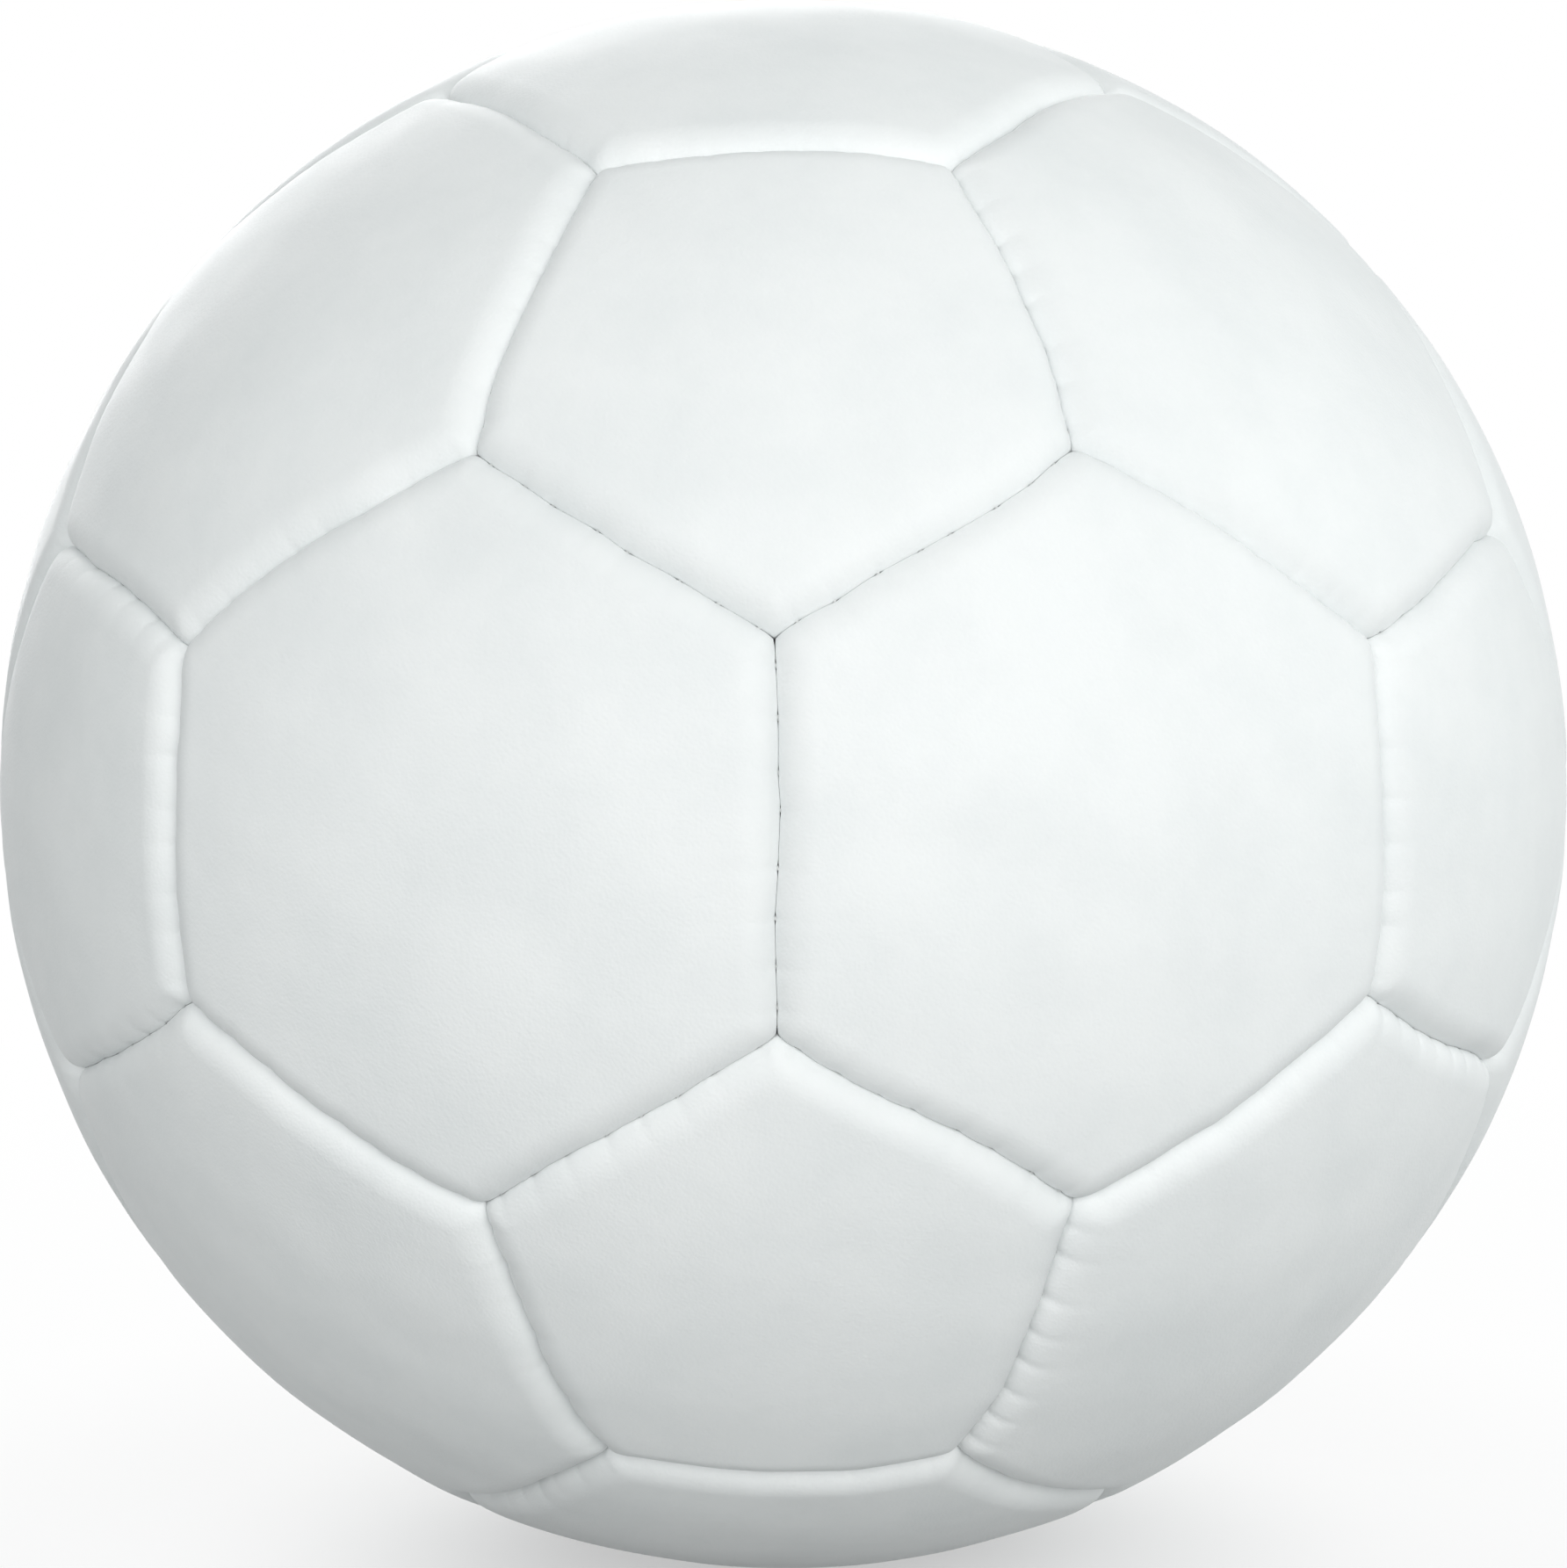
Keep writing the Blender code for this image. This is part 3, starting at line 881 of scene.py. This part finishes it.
# floor, world and lamps
studio = dict(
    floor=12.0,                          # radius
    floorGap=0.0002,                     # below the ball
    floorRoughness=0.9,
    floorSpecular=0.1,
    floorPale=(0.90, 0.90, 0.90, 1),     # as the camera sees it
    floorGrey=(0.37, 0.38, 0.38, 1),     # as it lights the ball from below
    floorFade=0.60,                      # plain white from this far off
    # place in the fade and share of white there
    floorGlow=((0.05, 0.45), (0.16, 0.80), (0.30, 0.95), (1.0, 1.0)),
    ambient=(0.95, 1.00, 1.00, 1),
    ambientStrength=0.375,
)
lamps = dict(
    key=dict(towards=(0.30, -0.94, 0.15), distance=1.5, size=1.3, power=12.9, colour=(1.0, 0.998, 0.99)),
    left=dict(towards=(-0.30, -0.94, 0.15), distance=1.5, size=1.3, power=6.8, colour=(1.0, 1.0, 1.0)),
    right=dict(towards=(0.95, 0.05, 0.30), distance=1.5, size=1.3, power=6.2, colour=(0.97, 1.0, 1.0)),
    back=dict(towards=(-0.25, 0.90, 0.34), distance=1.5, size=1.3, power=16.5, colour=(1.0, 1.0, 1.0)),
)


def whiteToCamera(nodes, links):
    # 1 for rays that see the background straight, in gloss or through glass
    path = addNode(nodes, "ShaderNodeLightPath", (-800, 300))
    either = addNode(nodes, "ShaderNodeMath", (-550, 300), operation="MAXIMUM")
    seen = addNode(nodes, "ShaderNodeMath", (-350, 300), operation="MAXIMUM")
    links.new(path.outputs["Is Camera Ray"], either.inputs[0])
    links.new(path.outputs["Is Glossy Ray"], either.inputs[1])
    links.new(either.outputs["Value"], seen.inputs[0])
    links.new(path.outputs["Is Transmission Ray"], seen.inputs[1])
    return seen.outputs["Value"]


def makeFloor():
    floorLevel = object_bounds()[0][2] - studio["floorGap"]
    bm = bmesh.new()
    bmesh.ops.create_circle(bm, cap_ends=True, segments=64, radius=studio["floor"])
    mesh = bpy.data.meshes.new("studio_floor")
    bm.to_mesh(mesh)
    bm.free()
    floor = bpy.data.objects.new("studio_floor", mesh)
    floor.location.z = floorLevel
    bpy.context.scene.collection.objects.link(floor)
    material, nodes, links, shader = newMaterial("studio_floor")
    seen = whiteToCamera(nodes, links)
    pale = addNode(nodes, "ShaderNodeMix", (-250, 0), data_type="RGBA")
    pale.inputs[6].default_value = studio["floorGrey"]
    pale.inputs[7].default_value = studio["floorPale"]
    links.new(seen, pale.inputs["Factor"])
    links.new(pale.outputs[2], shader.inputs["Base Color"])
    shader.inputs["Roughness"].default_value = studio["floorRoughness"]
    shader.inputs["Specular IOR Level"].default_value = studio["floorSpecular"]
    # plain white further off, so that no horizon shows
    place = addNode(nodes, "ShaderNodeTexCoord", (-800, 600))
    away = addNode(nodes, "ShaderNodeVectorMath", (-550, 600), operation="LENGTH")
    reach = addNode(nodes, "ShaderNodeMath", (-400, 600), operation="DIVIDE")
    reach.inputs[1].default_value = studio["floorFade"]
    fade = addNode(nodes, "ShaderNodeValToRGB", (-250, 600))
    fade.color_ramp.interpolation = "EASE"
    for at, _ in studio["floorGlow"][1:-1]:
        fade.color_ramp.elements.new(at)
    for stop, (at, level) in zip(fade.color_ramp.elements, studio["floorGlow"]):
        stop.position = at
        stop.color = (level, level, level, 1)
    share = addNode(nodes, "ShaderNodeMath", (0, 400), operation="MULTIPLY")
    glow = addNode(nodes, "ShaderNodeEmission", (0, -250), Strength=1.0)
    mixer = addNode(nodes, "ShaderNodeMixShader", (300, 100))
    links.new(place.outputs["Object"], away.inputs[0])
    links.new(away.outputs["Value"], reach.inputs[0])
    links.new(reach.outputs["Value"], fade.inputs["Fac"])
    links.new(fade.outputs["Color"], share.inputs[0])
    links.new(seen, share.inputs[1])
    links.new(share.outputs["Value"], mixer.inputs["Fac"])
    links.new(shader.outputs["BSDF"], mixer.inputs[1])
    links.new(glow.outputs["Emission"], mixer.inputs[2])
    # clear from below, so that the ball's underside can be looked at
    facing = addNode(nodes, "ShaderNodeNewGeometry", (300, 400))
    clear = addNode(nodes, "ShaderNodeBsdfTransparent", (300, -100))
    sided = addNode(nodes, "ShaderNodeMixShader", (550, 100))
    links.new(facing.outputs["Backfacing"], sided.inputs["Fac"])
    links.new(mixer.outputs["Shader"], sided.inputs[1])
    links.new(clear.outputs["BSDF"], sided.inputs[2])
    links.new(sided.outputs["Shader"], nodes["Material Output"].inputs["Surface"])
    mesh.materials.append(material)


def makeWorld():
    world = bpy.data.worlds.new("studio")
    bpy.context.scene.world = world
    world.use_nodes = True
    nodes, links = world.node_tree.nodes, world.node_tree.links
    ambient = nodes["Background"]
    ambient.inputs["Color"].default_value = studio["ambient"]
    ambient.inputs["Strength"].default_value = studio["ambientStrength"]
    white = addNode(nodes, "ShaderNodeBackground", (0, -200), Strength=1.0, Color=(1, 1, 1, 1))
    mixer = addNode(nodes, "ShaderNodeMixShader", (250, 0))
    links.new(whiteToCamera(nodes, links), mixer.inputs["Fac"])
    links.new(ambient.outputs["Background"], mixer.inputs[1])
    links.new(white.outputs["Background"], mixer.inputs[2])
    links.new(mixer.outputs["Shader"], nodes["World Output"].inputs["Surface"])


def hangLamps():
    for name, setting in lamps.items():
        lamp = bpy.data.lights.new(name + "_lamp", "AREA")
        lamp.shape = "DISK"
        lamp.size = setting["size"]
        lamp.energy = setting["power"]
        lamp.color = setting["colour"]
        hung = bpy.data.objects.new(name + "_lamp", lamp)
        towards = Vector(setting["towards"]).normalized()
        hung.location = towards * setting["distance"]
        hung.rotation_euler = (-towards).to_track_quat("-Z", "Y").to_euler()
        hung.visible_camera = False
        bpy.context.scene.collection.objects.link(hung)


makeFloor()
makeWorld()
hangLamps()
bpy.context.scene.view_settings.view_transform = "Standard"
print("camera, floor and lamps placed")
